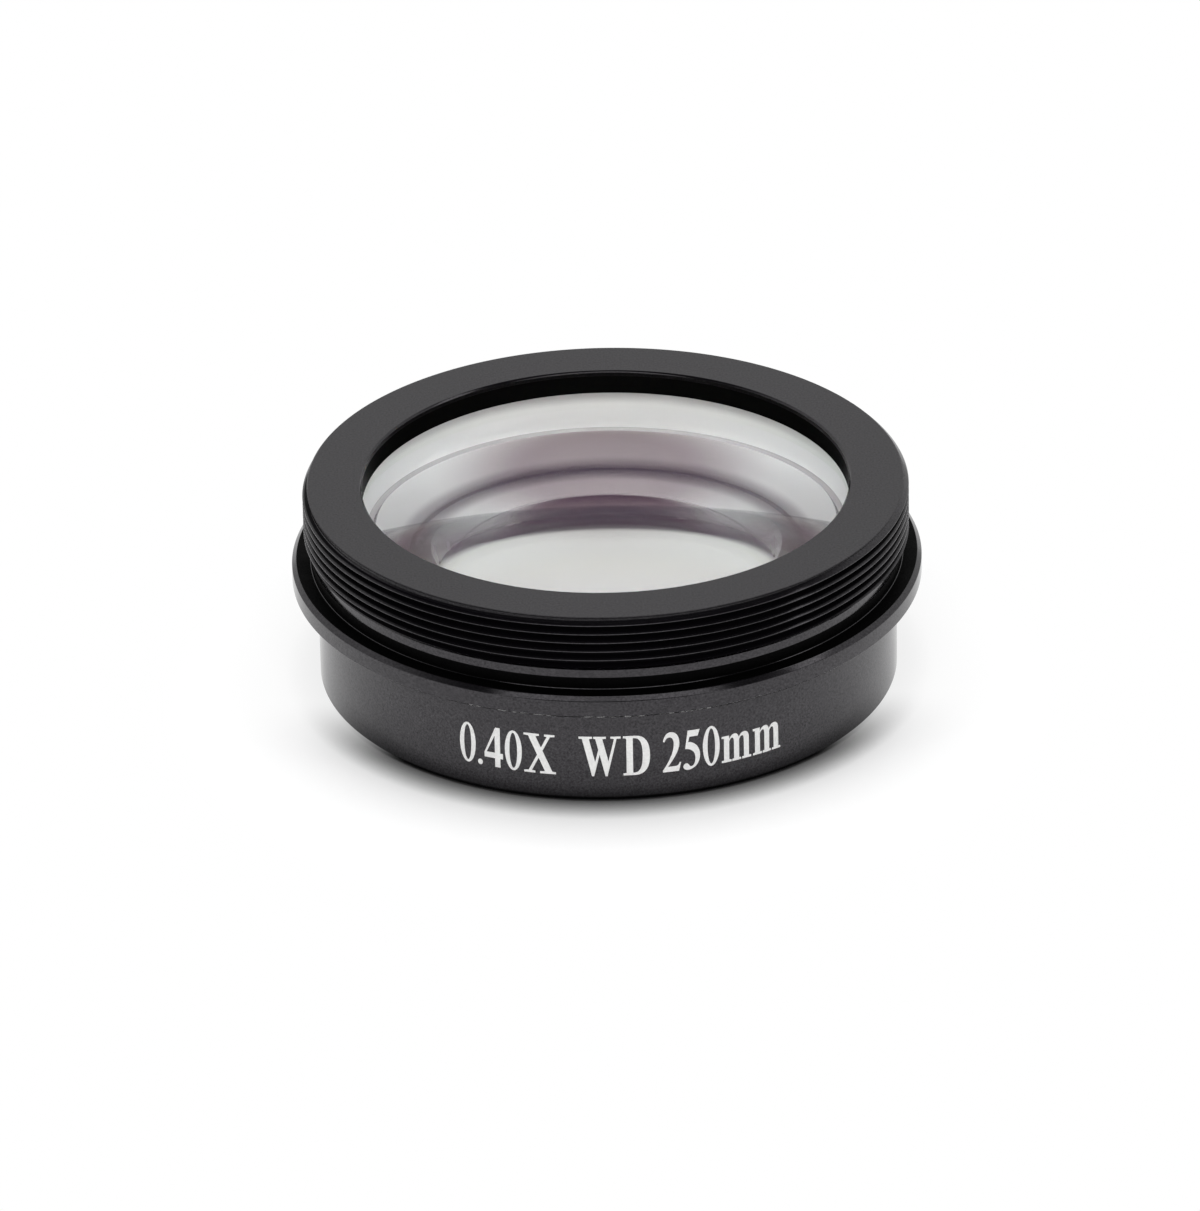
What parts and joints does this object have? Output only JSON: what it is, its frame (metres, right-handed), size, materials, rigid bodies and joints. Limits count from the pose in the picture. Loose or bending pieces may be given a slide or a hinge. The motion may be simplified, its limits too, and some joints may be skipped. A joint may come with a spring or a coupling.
{
  "type": "microscope auxiliary objective",
  "caption": "Short black turned lens mount with a fine mounting thread on top, a thin flange, a plain lower barrel and an air-spaced negative lens pair behind a top lip.",
  "frame": {"origin": "centre of the bottom face, on the optical axis", "axes": "+Z along the optical axis towards the threaded end, +X to the right and -Y to the front, where the marking is"},
  "size_m": [0.05, 0.05, 0.0165],
  "materials": {
    "black_anodised": "black anodised, fine turned, semi-gloss",
    "black_ring": "black anodised, matt",
    "crown_glass": "polished, coated, ground edge",
    "flint_glass": "polished, coated, ground edge",
    "marking_white": "matt off-white infill"
  },
  "bodies": {
    "root": {"housing": "black_anodised", "crown_lens": "crown_glass", "spacer_ring": "black_ring", "flint_lens": "flint_glass", "lock_ring": "black_ring"}
  },
  "joints": []
}
